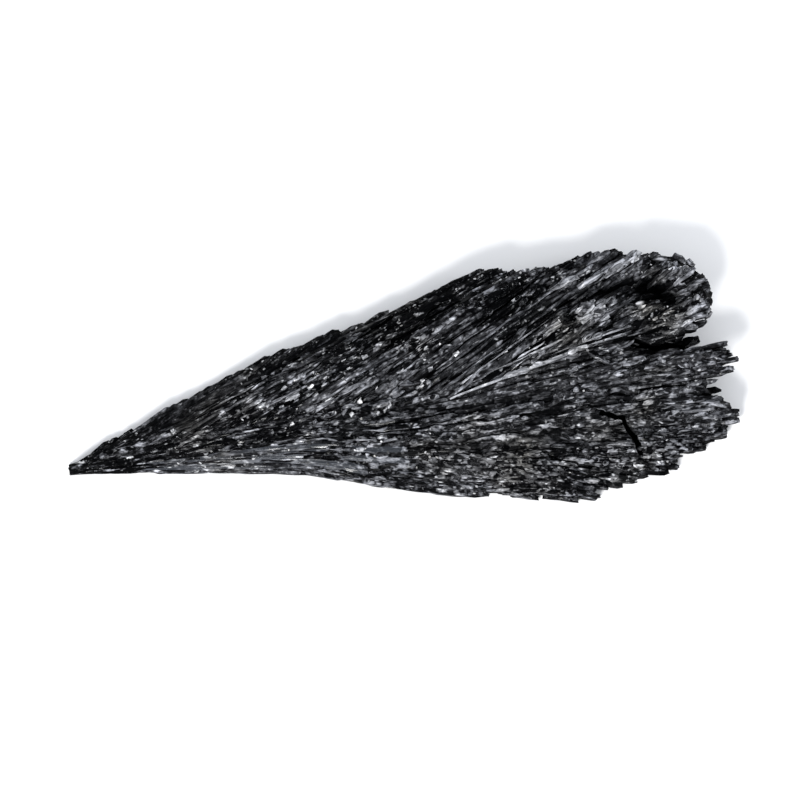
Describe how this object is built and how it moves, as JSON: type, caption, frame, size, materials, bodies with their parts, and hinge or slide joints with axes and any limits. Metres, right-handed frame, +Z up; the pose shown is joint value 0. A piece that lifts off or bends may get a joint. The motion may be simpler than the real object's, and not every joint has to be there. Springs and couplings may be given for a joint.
{
  "type": "black kyanite fan",
  "caption": "Loose black kyanite specimen: a flat fan of striated black blades, grown together, that spreads from a narrow root to a stepped, broken end.",
  "frame": {"origin": "middle of the bottom of the bounding box, on the surface that the fan lies on", "axes": "+X from the narrow root to the broken blade ends, +Y to the barbed far edge, +Z up from the flat cleavage face that the fan lies on"},
  "size_m": [0.0656, 0.0244, 0.0083],
  "materials": {
    "black_kyanite": "satin, striated along the blades, with bright cleavage glints"
  },
  "bodies": {
    "root": {"black_kyanite": "black_kyanite"}
  },
  "joints": []
}
